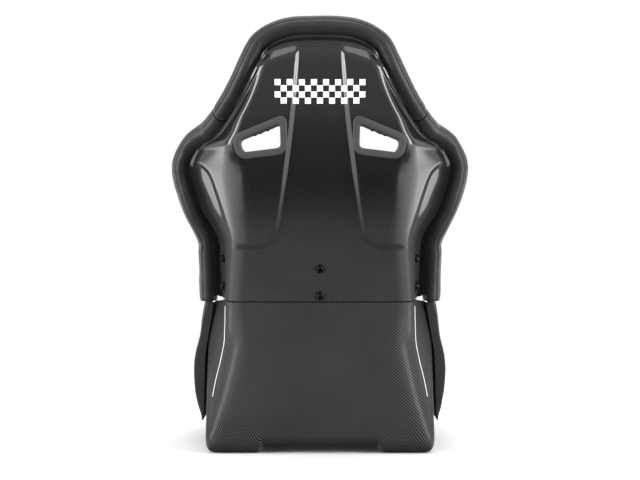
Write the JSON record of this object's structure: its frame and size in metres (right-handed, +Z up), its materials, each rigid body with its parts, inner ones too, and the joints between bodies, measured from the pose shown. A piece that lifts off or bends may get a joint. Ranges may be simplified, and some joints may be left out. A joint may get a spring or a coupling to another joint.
{
  "type": "bucket racing seat",
  "caption": "Fixed-back bucket racing seat: a moulded carbon-look back and base shell bolted together, padded rim roll, deep side bolsters, harness slots and a padded base cover.",
  "frame": {"origin": "centre of the bounding box in X and Y, on the surface the seat stands on", "axes": "+Z up, +Y towards the front of the seat, +X to the right seen from behind"},
  "size_m": [0.583, 0.6676, 0.8316],
  "materials": {
    "shell": "clear-coated black and dark grey twill weave, glossy",
    "bezel": "fine-grained moulded plastic",
    "leatherette": "smooth black synthetic leather, soft sheen",
    "seat_fabric": "black woven seat fabric over foam, stitched channels",
    "hook_and_loop": "black hook and loop tape",
    "black_hardware": "black oxide steel, satin",
    "zinc_hardware": "zinc plated steel"
  },
  "bodies": {
    "root": {"back_bolster_left": "seat_fabric", "back_bolster_right": "seat_fabric", "back_shell": "shell", "back_tape_left": "hook_and_loop", "back_tape_right": "hook_and_loop", "backrest_cushion": "seat_fabric", "base_shell": "shell", "base_skirt_left": "leatherette", "base_skirt_right": "leatherette", "front_lip_roll": "leatherette", "harness_bezel_front_left": "bezel", "harness_bezel_front_right": "bezel", "harness_bezel_rear_left": "bezel", "harness_bezel_rear_right": "bezel", "headrest_cushion": "seat_fabric", "hip_cushion": "seat_fabric", "joint_bolt_center_lower": "black_hardware", "joint_bolt_center_upper": "black_hardware", "joint_bolt_left_lower": "black_hardware", "joint_bolt_left_upper": "black_hardware", "joint_bolt_right_lower": "black_hardware", "joint_bolt_right_upper": "black_hardware", "joint_nut_center_lower": "zinc_hardware", "joint_nut_center_upper": "zinc_hardware", "joint_nut_left_lower": "zinc_hardware", "joint_nut_left_upper": "zinc_hardware", "joint_nut_right_lower": "zinc_hardware", "joint_nut_right_upper": "zinc_hardware", "joint_washer_center_lower": "black_hardware", "joint_washer_center_upper": "black_hardware", "joint_washer_left_lower": "black_hardware", "joint_washer_left_upper": "black_hardware", "joint_washer_right_lower": "black_hardware", "joint_washer_right_upper": "black_hardware", "lumbar_cushion": "seat_fabric", "mount_insert_left_front": "zinc_hardware", "mount_insert_left_rear": "zinc_hardware", "mount_insert_right_front": "zinc_hardware", "mount_insert_right_rear": "zinc_hardware", "mount_strip_left": "zinc_hardware", "mount_strip_right": "zinc_hardware", "piping_head": "leatherette", "piping_left": "leatherette", "piping_right": "leatherette", "rim_roll_head": "leatherette", "rim_roll_left": "leatherette", "rim_roll_right": "leatherette", "seat_cushion": "seat_fabric", "seat_tape_left": "hook_and_loop", "seat_tape_right": "hook_and_loop", "thigh_bolster_left": "seat_fabric", "thigh_bolster_right": "seat_fabric"}
  },
  "joints": []
}
